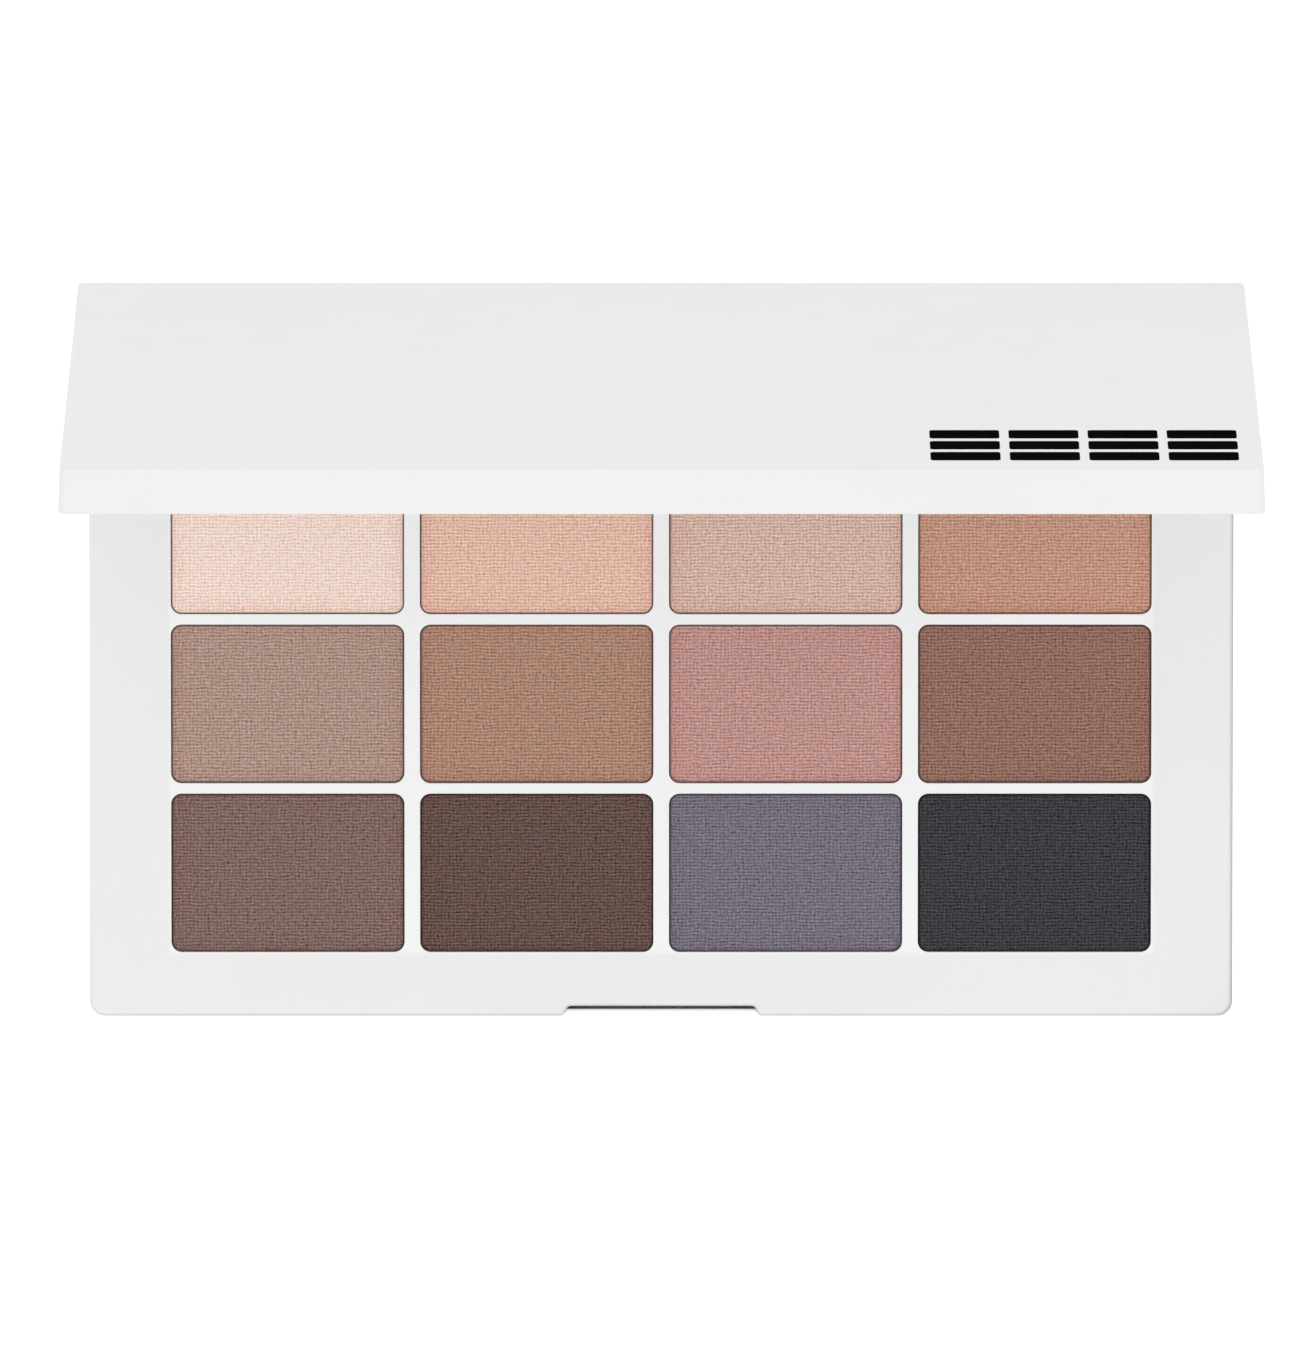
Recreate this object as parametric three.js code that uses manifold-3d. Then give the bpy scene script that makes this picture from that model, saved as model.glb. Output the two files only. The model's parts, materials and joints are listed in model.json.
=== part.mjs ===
// Twelve-shade eyeshadow palette with a hinged, mirrored lid.
// Millimetres. +X right, +Y to the hinge, +Z up. Origin: middle of the base's underside.
import * as THREE from 'three';
import { mergeVertices } from 'three/addons/utils/BufferGeometryUtils.js';
import Module from 'manifold-3d';

const wasm = await Module();
wasm.setup();

// Driving dimensions.
const SHADE_COLUMNS = 4;
const SHADE_ROWS = 3;
const SHADE_W = 31.0;            // window in the deck over one shade
const SHADE_D = 21.2;
const SHADE_CORNER = 1.4;
const SHADE_PITCH_X = 33.1;
const SHADE_PITCH_Y = 22.6;
const FRONT_MARGIN = 8.6;        // deck between its front edge and the front row of windows

const BASE_W = 152.0;
const BASE_D = 89.6;
const BASE_H = 7.0;              // up to the deck's upper face
const PLAN_CORNER = 2.0;
const EDGE_ROUND = 0.7;
const WALL = 1.3;
const FLOOR = 1.2;

const DECK_SKIRT = 2.4;          // height of the deck's own outer wall, from the seam up
const DECK_PLATE = 1.2;
const DECK_LIP = 1.0;            // thickness of the lip that locates the deck in the shell
const DECK_LIP_H = 1.2;          // how far it reaches below the seam
const WELL_WALL = 0.55;
const WELL_FLOOR = 0.8;
const WELL_DEPTH = 3.2;          // from the deck's upper face to the well's floor
const PUSH_HOLE_R = 2.0;         // hole for pushing an empty pan out
const PUSH_HOLE_X = 9.0;         // its place, from the middle of the well

const NOTCH_W = 25.4;            // thumb notch in the front edge
const NOTCH_FLARE = 0.5;         // run of the curve at each end of it
const NOTCH_IN_DECK = 1.3;
const NOTCH_IN_SHELL = 0.4;
const NOTCH_LIP = 0.2;           // shell left in front of the slot behind the notch

const RIB_T = 1.1;               // ribs across the shell's floor

const LID_OPENING = 80.5;        // degrees that the lid stands open as modelled
const LID_SIDE_GAP = 0.3;        // air between the lid's walls and the base
const LID_TOP = 10.5;            // height of the closed palette
const LID_WALL_H = 6.0;
const LID_SKIN = 1.2;
const LID_CORNER = 1.4;
const LID_INSIDE_CORNER = 0.5;
const LID_EDGE_ROUND = 0.3;

const HINGE_BEHIND_BASE = 2.5;   // hinge axis behind the base's rear face
const HINGE_Z = 5.0;
const KNUCKLE_R = 2.0;
const PIN_R = 0.75;
const PIN_CLEARANCE = 0.05;
const PIN_SHORT = 0.1;           // pin's end inside the knuckle's end face
const KNUCKLE_GAP = 0.3;         // air between neighbouring knuckles
const STATION_X = 47.0;          // middle of each of the two hinges
const LID_KNUCKLE_L = 12.0;
const BASE_KNUCKLE_L = 6.0;

const PAN_CLEARANCE = 0.1;       // round a pan in its window
const PAN_WALL = 0.25;
const PAN_RIM_DROP = 0.45;       // pan rim below the deck's upper face
const SHADE_DROP = 0.4;          // powder below the deck's upper face
const GLUE_T = 0.12;
const GLUE_R = 4.0;
const GLUE_X = -4.0;             // dot's place, from the middle of the well

const LINER_GAP = 0.15;          // round the mirror's liner in the lid
const LINER_BEHIND = 1.4;        // between the liner and the hinge knuckles
const MIRROR_T = 1.2;
const MIRROR_MARGIN = 8.0;       // liner showing round the mirror
const MIRROR_CORNER = 1.4;
const MIRROR_LIP = 0.35;         // liner standing proud of the mirror's face
const TAPE_MARGIN = 4.0;         // mirror left bare round the foam tape
const FIT = 0.02;                // between pieces glued or clipped face to face
const BITE = 0.1;                // overlap of solids that are joined into one

const MAGNET_R = 2.0;
const MAGNET_H = 1.5;
const MAGNET_X = 62.0;
const MAGNET_BEHIND_WALL = 0.9;
const MAGNET_CUP = 0.8;          // wall of the cup round each magnet in the shell

const LABEL_W = 52.0;
const LABEL_D = 22.0;
const LABEL_T = 0.15;
const LABEL_Y = 24.0;
const LABEL_CORNER = 1.5;
const LABEL_GAP = 0.2;           // round the label in its recess
const LABEL_RECESS = 0.2;        // depth of the recess

// Worked out from them.
const DECK_SEAM = BASE_H - DECK_SKIRT;
const BASE_FRONT = -BASE_D / 2;
const BASE_REAR = BASE_D / 2;
const HINGE_Y = BASE_REAR + HINGE_BEHIND_BASE;
const LID_OVERHANG = LID_SIDE_GAP + WALL;
const LID_W = BASE_W + 2 * LID_OVERHANG;
const LID_FRONT = BASE_FRONT - LID_OVERHANG;
const LID_REAR = HINGE_Y + KNUCKLE_R;
const LID_D = LID_REAR - LID_FRONT;
const LID_MIDDLE = (LID_REAR + LID_FRONT) / 2;
const LID_RIM = LID_TOP - LID_WALL_H;
const LID_CEILING = LID_TOP - LID_SKIN;
const SHADE_MIDDLE_Y = BASE_FRONT + FRONT_MARGIN + SHADE_D / 2 + SHADE_PITCH_Y;
const WELL_FLOOR_Z = BASE_H - WELL_DEPTH;
const DECK_UNDERSIDE = BASE_H - DECK_PLATE;
const MAGNET_Y = BASE_FRONT + WALL + MAGNET_BEHIND_WALL + MAGNET_R;

const CORNER_STEPS = 4;
const EDGE_STEPS = 3;
const ROUND_STEPS = 24;
const HOLE_STEPS = 12;
const PIN_STEPS = 16;

// ---- Shape helpers ----

function roundedRect(width, depth, radius) {
  const x = width / 2;
  const y = depth / 2;
  const shape = new THREE.Shape();
  shape.moveTo(-x + radius, -y);
  shape.lineTo(x - radius, -y);
  shape.absarc(x - radius, -y + radius, radius, -Math.PI / 2, 0, false);
  shape.lineTo(x, y - radius);
  shape.absarc(x - radius, y - radius, radius, 0, Math.PI / 2, false);
  shape.lineTo(-x + radius, y);
  shape.absarc(-x + radius, y - radius, radius, Math.PI / 2, Math.PI, false);
  shape.lineTo(-x, -y + radius);
  shape.absarc(-x + radius, -y + radius, radius, Math.PI, Math.PI * 1.5, false);
  return shape;
}

// A solid for manifold-3d from any closed three.js geometry.
function toSolid(geometry) {
  const bare = geometry.clone();
  bare.deleteAttribute('normal');
  bare.deleteAttribute('uv');
  const merged = mergeVertices(bare, 1e-4);
  const vertProperties = new Float32Array(merged.attributes.position.array);
  const triVerts = new Uint32Array(merged.index.array);
  return new wasm.Manifold(new wasm.Mesh({ numProp: 3, vertProperties, triVerts }));
}

function toGeometry(solid) {
  const mesh = solid.getMesh();
  const geometry = new THREE.BufferGeometry();
  geometry.setAttribute('position', new THREE.BufferAttribute(mesh.vertProperties, 3));
  geometry.setIndex(new THREE.BufferAttribute(mesh.triVerts, 1));
  const flat = geometry.toNonIndexed();
  flat.computeVertexNormals();
  return flat;
}

// A rounded-corner plate standing on z, its upper and lower edges rounded by `edge`.
function plateGeometry(width, depth, height, corner, edge = 0) {
  const geometry = new THREE.ExtrudeGeometry(roundedRect(width, depth, corner), {
    depth: height - 2 * edge,
    bevelEnabled: edge > 0,
    bevelThickness: edge,
    bevelSize: edge,
    bevelOffset: -edge,
    bevelSegments: EDGE_STEPS,
    curveSegments: CORNER_STEPS,
  });
  return geometry.translate(0, 0, edge);
}

function plate({ w, d, h, corner, edge = 0, x = 0, y = 0, z = 0 }) {
  return toSolid(plateGeometry(w, d, h, corner, edge).translate(x, y, z));
}

function block(x0, x1, y0, y1, z0, z1) {
  const geometry = new THREE.BoxGeometry(x1 - x0, y1 - y0, z1 - z0);
  return toSolid(geometry.translate((x0 + x1) / 2, (y0 + y1) / 2, (z0 + z1) / 2));
}

function uprightCylinder(x, y, z0, z1, radius, steps = ROUND_STEPS) {
  const geometry = new THREE.CylinderGeometry(radius, radius, z1 - z0, steps);
  geometry.rotateX(Math.PI / 2).translate(x, y, (z0 + z1) / 2);
  return toSolid(geometry);
}

// A cylinder on the hinge axis from x0 to x1.
function hingeCylinder(x0, x1, radius, steps = ROUND_STEPS) {
  const geometry = new THREE.CylinderGeometry(radius, radius, x1 - x0, steps);
  geometry.rotateZ(Math.PI / 2).translate((x0 + x1) / 2, HINGE_Y, HINGE_Z);
  return toSolid(geometry);
}

const SIDES = [['left', -1], ['right', 1]];

// ---- Where things repeat ----

function shadePlaces() {
  const places = [];
  for (let row = 0; row < SHADE_ROWS; row += 1) {
    for (let column = 0; column < SHADE_COLUMNS; column += 1) {
      places.push({
        row,
        column,
        tag: `r${row + 1}_c${column + 1}`,
        x: (column - (SHADE_COLUMNS - 1) / 2) * SHADE_PITCH_X,
        y: SHADE_MIDDLE_Y + ((SHADE_ROWS - 1) / 2 - row) * SHADE_PITCH_Y,
      });
    }
  }
  return places;
}

// Each hinge: a lid knuckle in the middle and a base knuckle on each side of it.
function hingeStations() {
  return SIDES.map(([name, side]) => {
    const middle = side * STATION_X;
    const lidHalf = LID_KNUCKLE_L / 2;
    const inner = lidHalf + KNUCKLE_GAP;
    const outer = inner + BASE_KNUCKLE_L;
    return {
      name,
      lid: [middle - lidHalf, middle + lidHalf],
      base: [[middle - outer, middle - inner], [middle + inner, middle + outer]],
      ends: [middle - outer, middle + outer],
    };
  });
}

// ---- Base ----

// The notch is cut with a plan outline that flares to the front edge on two curves.
function notchCutter(depth, z0, z1) {
  const half = NOTCH_W / 2;
  const wide = half + NOTCH_FLARE;
  const narrow = half - NOTCH_FLARE;
  const shape = new THREE.Shape();
  shape.moveTo(-wide, -WALL);
  shape.lineTo(-wide, 0);
  shape.quadraticCurveTo(-half, 0, -half, depth / 2);
  shape.quadraticCurveTo(-half, depth, -narrow, depth);
  shape.lineTo(narrow, depth);
  shape.quadraticCurveTo(half, depth, half, depth / 2);
  shape.quadraticCurveTo(half, 0, wide, 0);
  shape.lineTo(wide, -WALL);
  shape.closePath();
  const options = { depth: z1 - z0, bevelEnabled: false, curveSegments: CORNER_STEPS };
  return toSolid(new THREE.ExtrudeGeometry(shape, options).translate(0, BASE_FRONT, z0));
}

function baseBody() {
  return plate({ w: BASE_W, d: BASE_D, h: BASE_H, corner: PLAN_CORNER, edge: EDGE_ROUND });
}

function baseShell() {
  const inside = { w: BASE_W - 2 * WALL, d: BASE_D - 2 * WALL, corner: PLAN_CORNER - WALL };
  let shell = baseBody().subtract(block(-BASE_W, BASE_W, -BASE_D, BASE_D, DECK_SEAM, BASE_H + 1));
  shell = shell.subtract(plate({ ...inside, h: BASE_H, z: FLOOR }));
  shell = shell.subtract(notchCutter(NOTCH_IN_SHELL, -1, BASE_H));
  // A slot in the front wall behind the notch leaves a thin lip.
  const slotHalf = NOTCH_W / 2 - NOTCH_FLARE;
  const slotFront = BASE_FRONT + NOTCH_IN_SHELL + NOTCH_LIP;
  const slotBack = BASE_FRONT + WALL + BITE;
  shell = shell.subtract(block(-slotHalf, slotHalf, slotFront, slotBack, FLOOR, BASE_H));

  // Ribs across the floor, standing under the bars between the wells.
  const ribTop = WELL_FLOOR_Z - WELL_FLOOR - FIT;
  const reachX = BASE_W / 2 - WALL + BITE;
  const reachY = BASE_D / 2 - WALL + BITE;
  const frontOfRibs = BASE_FRONT + WALL + DECK_LIP + LID_SIDE_GAP;
  for (const side of [-1, 0, 1]) {
    const x0 = side * SHADE_PITCH_X - RIB_T / 2;
    shell = shell.add(block(x0, x0 + RIB_T, frontOfRibs, reachY, FLOOR - BITE, ribTop));
  }
  for (const side of [-1, 1]) {
    const y0 = SHADE_MIDDLE_Y + (side * SHADE_PITCH_Y) / 2 - RIB_T / 2;
    shell = shell.add(block(-reachX, reachX, y0, y0 + RIB_T, FLOOR - BITE, ribTop));
  }
  // Cups for the closure magnets, in the front corners.
  for (const [, side] of SIDES) {
    const x = side * MAGNET_X;
    const cupTop = DECK_UNDERSIDE - FIT;
    const magnetBottom = cupTop - MAGNET_H - 2 * FIT;
    const cupR = MAGNET_R + MAGNET_CUP;
    shell = shell.add(uprightCylinder(x, MAGNET_Y, FLOOR - BITE, cupTop, cupR));
    shell = shell.subtract(uprightCylinder(x, MAGNET_Y, magnetBottom, BASE_H, MAGNET_R + FIT));
  }
  // Hinge knuckles, each on a web from the rear wall.
  for (const station of hingeStations()) {
    for (const [x0, x1] of station.base) {
      const web = block(x0, x1, BASE_REAR - WALL, HINGE_Y, HINGE_Z - KNUCKLE_R, DECK_SEAM);
      shell = shell.add(hingeCylinder(x0, x1, KNUCKLE_R)).add(web);
    }
    const [first, last] = station.ends;
    shell = shell.subtract(hingeCylinder(first - 1, last + 1, PIN_R + FIT));
  }
  return shell.subtract(plate({
    w: LABEL_W + 2 * LABEL_GAP,
    d: LABEL_D + 2 * LABEL_GAP,
    h: LABEL_RECESS + BITE,
    corner: LABEL_CORNER + LABEL_GAP,
    y: LABEL_Y,
    z: -BITE,
  }));
}

function deckTray() {
  let deck = baseBody().subtract(block(-BASE_W, BASE_W, -BASE_D, BASE_D, -1, DECK_SEAM + FIT));
  deck = deck.subtract(plate({
    w: BASE_W - 2 * WALL,
    d: BASE_D - 2 * WALL,
    h: DECK_UNDERSIDE,
    corner: PLAN_CORNER - WALL,
  }));
  // A lip inside the skirt that locates in the shell.
  const lipW = BASE_W - 2 * WALL - 2 * FIT;
  const lipD = BASE_D - 2 * WALL - 2 * FIT;
  const lipZ = DECK_SEAM - DECK_LIP_H;
  const lipCorner = PLAN_CORNER - WALL - FIT;
  const lip = plate({
    w: lipW,
    d: lipD,
    h: DECK_UNDERSIDE - lipZ + BITE,
    corner: lipCorner,
    z: lipZ,
  });
  const insideLip = { w: lipW - 2 * DECK_LIP, d: lipD - 2 * DECK_LIP, corner: lipCorner / 2 };
  deck = deck.add(lip.subtract(plate({ ...insideLip, h: BASE_H })));
  // One block holds all the wells; each well is cut out of it through its window.
  const blockW = (SHADE_COLUMNS - 1) * SHADE_PITCH_X + SHADE_W + 2 * WELL_WALL;
  const blockD = (SHADE_ROWS - 1) * SHADE_PITCH_Y + SHADE_D + 2 * WELL_WALL;
  deck = deck.add(plate({
    w: blockW,
    d: blockD,
    h: WELL_DEPTH + WELL_FLOOR - DECK_PLATE + BITE,
    corner: SHADE_CORNER + WELL_WALL,
    y: SHADE_MIDDLE_Y,
    z: WELL_FLOOR_Z - WELL_FLOOR,
  }));
  for (const { x, y } of shadePlaces()) {
    const window = { w: SHADE_W, d: SHADE_D, corner: SHADE_CORNER, x, y };
    deck = deck.subtract(plate({ ...window, h: WELL_DEPTH + 1, z: WELL_FLOOR_Z }));
    const hole = uprightCylinder(x + PUSH_HOLE_X, y, 0, BASE_H, PUSH_HOLE_R, HOLE_STEPS);
    deck = deck.subtract(hole);
  }
  // Room for the magnet cups' round tops.
  for (const [, side] of SIDES) {
    const room = MAGNET_R + MAGNET_CUP + BITE;
    deck = deck.subtract(uprightCylinder(side * MAGNET_X, MAGNET_Y, 0, DECK_UNDERSIDE, room));
  }
  return deck.subtract(notchCutter(NOTCH_IN_DECK, -1, BASE_H + 1));
}

const PAN_W = SHADE_W - 2 * PAN_CLEARANCE;
const PAN_D = SHADE_D - 2 * PAN_CLEARANCE;
const PAN_CORNER = SHADE_CORNER - PAN_CLEARANCE;
const PAN_BOTTOM = WELL_FLOOR_Z + GLUE_T + 2 * FIT;
const PAN_H = BASE_H - PAN_RIM_DROP - PAN_BOTTOM;

function pan() {
  const cavity = {
    w: PAN_W - 2 * PAN_WALL,
    d: PAN_D - 2 * PAN_WALL,
    corner: PAN_CORNER - PAN_WALL,
  };
  return plate({ w: PAN_W, d: PAN_D, h: PAN_H, corner: PAN_CORNER })
    .subtract(plate({ ...cavity, h: PAN_H, z: PAN_WALL }));
}

const SHADE_BOTTOM = PAN_BOTTOM + PAN_WALL + FIT;
const SHADE_H = BASE_H - SHADE_DROP - SHADE_BOTTOM;

function shadeGeometry() {
  const inset = PAN_WALL + FIT;
  return plateGeometry(PAN_W - 2 * inset, PAN_D - 2 * inset, SHADE_H, PAN_CORNER - inset);
}

// ---- Lid, drawn closed ----

function lidBody() {
  // Twice the wall's height, then cut at the rim, so that only the outer edge is rounded.
  const outer = {
    w: LID_W,
    d: LID_D,
    h: 2 * LID_WALL_H,
    corner: LID_CORNER,
    edge: LID_EDGE_ROUND,
    y: LID_MIDDLE,
    z: LID_TOP - 2 * LID_WALL_H,
  };
  const below = block(-LID_W, LID_W, LID_FRONT - 1, LID_REAR + 1, -LID_TOP, LID_RIM);
  return plate(outer).subtract(below);
}

function lidShell() {
  let lid = lidBody().subtract(plate({
    w: LID_W - 2 * WALL,
    d: LID_D - 2 * WALL,
    h: LID_WALL_H + 1 - LID_SKIN,
    corner: LID_INSIDE_CORNER,
    y: LID_MIDDLE,
    z: LID_RIM - 1,
  }));
  // Slots in the rear wall round the base knuckles, and the lid knuckles on it.
  for (const station of hingeStations()) {
    const clear = KNUCKLE_R + KNUCKLE_GAP;
    for (const [x0, x1] of station.base) {
      const gap = hingeCylinder(x0 - KNUCKLE_GAP, x1 + KNUCKLE_GAP, clear);
      const below = block(
        x0 - KNUCKLE_GAP, x1 + KNUCKLE_GAP,
        HINGE_Y - clear, LID_REAR + 1, LID_RIM - 1, HINGE_Z,
      );
      lid = lid.subtract(gap).subtract(below);
    }
    const [x0, x1] = station.lid;
    const web = block(x0, x1, HINGE_Y, LID_REAR - WALL / 2, HINGE_Z, HINGE_Z + KNUCKLE_R);
    lid = lid.add(hingeCylinder(x0, x1, KNUCKLE_R)).add(web);
    lid = lid.subtract(hingeCylinder(x0 - 1, x1 + 1, PIN_R + PIN_CLEARANCE));
  }
  return lid;
}

const LINER_W = LID_W - 2 * WALL - 2 * LINER_GAP;
const LINER_FRONT = LID_FRONT + WALL + LINER_GAP;
const LINER_REAR = HINGE_Y - KNUCKLE_R - LINER_BEHIND;
const LINER_D = LINER_REAR - LINER_FRONT;
const LINER_MIDDLE = (LINER_REAR + LINER_FRONT) / 2;
const LINER_H = LID_CEILING - FIT - (BASE_H + LID_SIDE_GAP);
const MIRROR_W = LINER_W - 2 * MIRROR_MARGIN;
const MIRROR_D = LINER_D - 2 * MIRROR_MARGIN;

function mirrorFrame() {
  let frame = plate({
    w: LINER_W,
    d: LINER_D,
    h: LINER_H,
    corner: LID_INSIDE_CORNER,
    y: LINER_MIDDLE,
    z: BASE_H + LID_SIDE_GAP,
  });
  frame = frame.subtract(plate({
    w: MIRROR_W + 4 * FIT,
    d: MIRROR_D + 4 * FIT,
    h: LINER_H + 2,
    corner: MIRROR_CORNER + 2 * FIT,
    y: LINER_MIDDLE,
    z: BASE_H - 1,
  }));
  for (const [, side] of SIDES) {
    const bottom = LID_CEILING - MAGNET_H - 3 * FIT;
    frame = frame.subtract(
      uprightCylinder(side * MAGNET_X, MAGNET_Y, bottom, LID_TOP, MAGNET_R + FIT),
    );
  }
  return frame;
}

// ---- Assembly ----

const WHITE = { color: 0xeeeeee, roughness: 0.5, metalness: 0 };
const TIN = { color: 0xb9bbbd, roughness: 0.35, metalness: 1 };
const STEEL = { color: 0xa8abad, roughness: 0.3, metalness: 1 };
const GLUE = { color: 0xe4dfce, roughness: 0.6, metalness: 0 };
const FOAM = { color: 0xd8d8d4, roughness: 0.9, metalness: 0 };
const SILVER = { color: 0xdfe5e8, roughness: 0.03, metalness: 1 };
const PAPER = { color: 0xf4f3ef, roughness: 0.8, metalness: 0 };

// Powder colours, rear row first, left to right.
const POWDERS = [
  [0xead2c6, 0xdbb5a3, 0xccad9f, 0xbd8f7d],
  [0xaa8e81, 0xa98370, 0xba8e87, 0x8f695f],
  [0x7e665f, 0x634f48, 0x746d79, 0x3c3b40],
];

function piece(name, geometry, look) {
  const mesh = new THREE.Mesh(geometry, new THREE.MeshStandardMaterial(look));
  mesh.name = name;
  return mesh;
}

const palette = new THREE.Group();
const base = new THREE.Group();
const lid = new THREE.Group();
palette.add(base, lid);

base.add(piece('base_shell', toGeometry(baseShell()), WHITE));
base.add(piece('deck_tray', toGeometry(deckTray()), WHITE));

for (const { row, column, tag, x, y } of shadePlaces()) {
  const tin = piece(`pan_${tag}`, toGeometry(pan()), TIN);
  tin.position.set(x, y, PAN_BOTTOM);
  const powder = { color: POWDERS[row][column], roughness: 0.95, metalness: 0 };
  const shade = piece(`shade_${tag}`, shadeGeometry(), powder);
  shade.position.set(x, y, SHADE_BOTTOM);
  const dot = new THREE.CylinderGeometry(GLUE_R, GLUE_R, GLUE_T, ROUND_STEPS);
  const glue = piece(`glue_dot_${tag}`, dot, GLUE);
  glue.rotation.x = Math.PI / 2;
  glue.position.set(x + GLUE_X, y, WELL_FLOOR_Z + FIT + GLUE_T / 2);
  base.add(tin, shade, glue);
}

for (const [name, side] of SIDES) {
  const magnet = () => new THREE.CylinderGeometry(MAGNET_R, MAGNET_R, MAGNET_H, ROUND_STEPS);
  const low = piece(`base_magnet_${name}`, magnet(), STEEL);
  low.rotation.x = Math.PI / 2;
  low.position.set(side * MAGNET_X, MAGNET_Y, DECK_UNDERSIDE - 2 * FIT - MAGNET_H / 2);
  base.add(low);
  const high = piece(`lid_magnet_${name}`, magnet(), STEEL);
  high.rotation.x = Math.PI / 2;
  high.position.set(side * MAGNET_X, MAGNET_Y, LID_CEILING - FIT - MAGNET_H / 2);
  lid.add(high);
}

for (const { name, ends } of hingeStations()) {
  const length = ends[1] - ends[0] - 2 * PIN_SHORT;
  const wire = new THREE.CylinderGeometry(PIN_R, PIN_R, length, PIN_STEPS);
  const pin = piece(`hinge_pin_${name}`, wire, STEEL);
  pin.rotation.z = Math.PI / 2;
  pin.position.set((ends[0] + ends[1]) / 2, HINGE_Y, HINGE_Z);
  base.add(pin);
}

const labelSheet = plateGeometry(LABEL_W, LABEL_D, LABEL_T, LABEL_CORNER);
const label = piece('bottom_label', labelSheet, PAPER);
label.position.set(0, LABEL_Y, LABEL_RECESS - LABEL_T - FIT);
base.add(label);

lid.add(piece('lid_shell', toGeometry(lidShell()), WHITE));
lid.add(piece('mirror_frame', toGeometry(mirrorFrame()), WHITE));

const glass = plateGeometry(MIRROR_W, MIRROR_D, MIRROR_T, MIRROR_CORNER);
const mirror = piece('mirror', glass, SILVER);
mirror.position.set(0, LINER_MIDDLE, BASE_H + LID_SIDE_GAP + MIRROR_LIP);
const tapeZ = mirror.position.z + MIRROR_T + FIT;
const tapeH = LID_CEILING - FIT - tapeZ;
const tapeW = MIRROR_W - 2 * TAPE_MARGIN;
const tapeD = MIRROR_D - 2 * TAPE_MARGIN;
const tape = piece('mirror_tape', plateGeometry(tapeW, tapeD, tapeH, MIRROR_CORNER), FOAM);
tape.position.set(0, LINER_MIDDLE, tapeZ);
lid.add(mirror, tape);

// The lid turns about the hinge axis from closed to its modelled opening.
const hinge = new THREE.Group();
hinge.position.set(0, HINGE_Y, HINGE_Z);
hinge.rotation.x = THREE.MathUtils.degToRad(-LID_OPENING);
lid.position.set(0, -HINGE_Y, -HINGE_Z);
hinge.add(lid);
palette.add(hinge);

export default palette;
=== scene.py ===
"""Eyeshadow palette: visual model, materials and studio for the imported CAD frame.

Every piece is built in metres in the row frame. Lid pieces are drawn with the lid closed, as they
are moulded, and then turned about the hinge to the opening that the frame has at rest.
"""
import json
import math

import bmesh
import bpy
from mathutils import Matrix, Vector


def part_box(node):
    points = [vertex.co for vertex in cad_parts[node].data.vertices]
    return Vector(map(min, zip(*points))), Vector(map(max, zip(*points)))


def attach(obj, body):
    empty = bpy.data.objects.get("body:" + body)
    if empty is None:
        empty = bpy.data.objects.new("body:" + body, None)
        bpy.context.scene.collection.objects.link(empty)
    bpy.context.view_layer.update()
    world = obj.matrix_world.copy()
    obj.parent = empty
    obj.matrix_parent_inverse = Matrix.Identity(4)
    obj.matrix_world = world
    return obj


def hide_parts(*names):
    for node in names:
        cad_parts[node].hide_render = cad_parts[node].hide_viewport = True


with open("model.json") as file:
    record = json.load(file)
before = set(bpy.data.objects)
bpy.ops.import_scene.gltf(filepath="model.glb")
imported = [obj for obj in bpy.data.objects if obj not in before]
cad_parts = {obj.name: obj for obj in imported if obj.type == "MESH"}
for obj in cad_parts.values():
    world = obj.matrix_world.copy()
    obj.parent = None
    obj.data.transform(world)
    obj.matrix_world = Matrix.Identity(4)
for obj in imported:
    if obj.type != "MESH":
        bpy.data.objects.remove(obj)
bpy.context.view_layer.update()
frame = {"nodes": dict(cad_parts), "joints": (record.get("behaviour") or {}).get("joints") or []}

MM = 0.001

# ---- The frame's places and a few sizes of the mouldings ----

NODES = frame["nodes"]
HINGE = frame["joints"][0]
AXIS = Vector(HINGE["pos_m"])
OPENING = math.radians(-HINGE["range_deg"][0])
TO_REST = (Matrix.Translation(AXIS) @ Matrix.Rotation(-OPENING, 4, "X")
           @ Matrix.Translation(-AXIS))
TO_CLOSED = TO_REST.inverted()


def closed_box(node):
    """Lowest and highest corner of a lid node with the lid shut."""
    points = [TO_CLOSED @ v.co for v in NODES[node].data.vertices]
    low = Vector([min(p[i] for p in points) for i in range(3)])
    high = Vector([max(p[i] for p in points) for i in range(3)])
    return low, high


DECK_LOW, DECK_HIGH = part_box("deck_tray")
SHELL_LOW, SHELL_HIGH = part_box("base_shell")
LID_LOW, LID_HIGH = closed_box("lid_shell")
PANS_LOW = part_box("pan_r3_c1")[0]
PANS_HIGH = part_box("pan_r1_c4")[1]

EDGE_ROUND = 0.7 * MM        # rounding of the base's upper and lower edges
PLAN_CORNER = 2.0 * MM
CORNER_STEPS = 10
SEAM_DROP = 2.4 * MM         # the deck's skirt: from its upper face down to the seam
SEAM_ROUND = 0.12 * MM
SEAM_GAP = 0.02 * MM
SHELL_WALL = 1.6 * MM
SHELL_FLOOR = 1.2 * MM
WINDOW_GAP = 0.1 * MM        # a window stands this far outside its pan
WINDOW_CORNER = 1.4 * MM
WINDOW_ROUND = 0.1 * MM
WELL_FLOOR = 0.8 * MM
PUSH_HOLE_R = 2.0 * MM
PUSH_HOLE_X = 9.0 * MM
BLOCK_MARGIN = 0.65 * MM     # the wells' common block, outside the outermost pans
BLOCK_CORNER = 1.9 * MM
RECESS_GAP = 0.2 * MM        # recess round the label in the underside
RECESS_DEPTH = 0.2 * MM
RECESS_CORNER = 1.7 * MM
RECESS_BEVEL = 0.05 * MM

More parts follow.
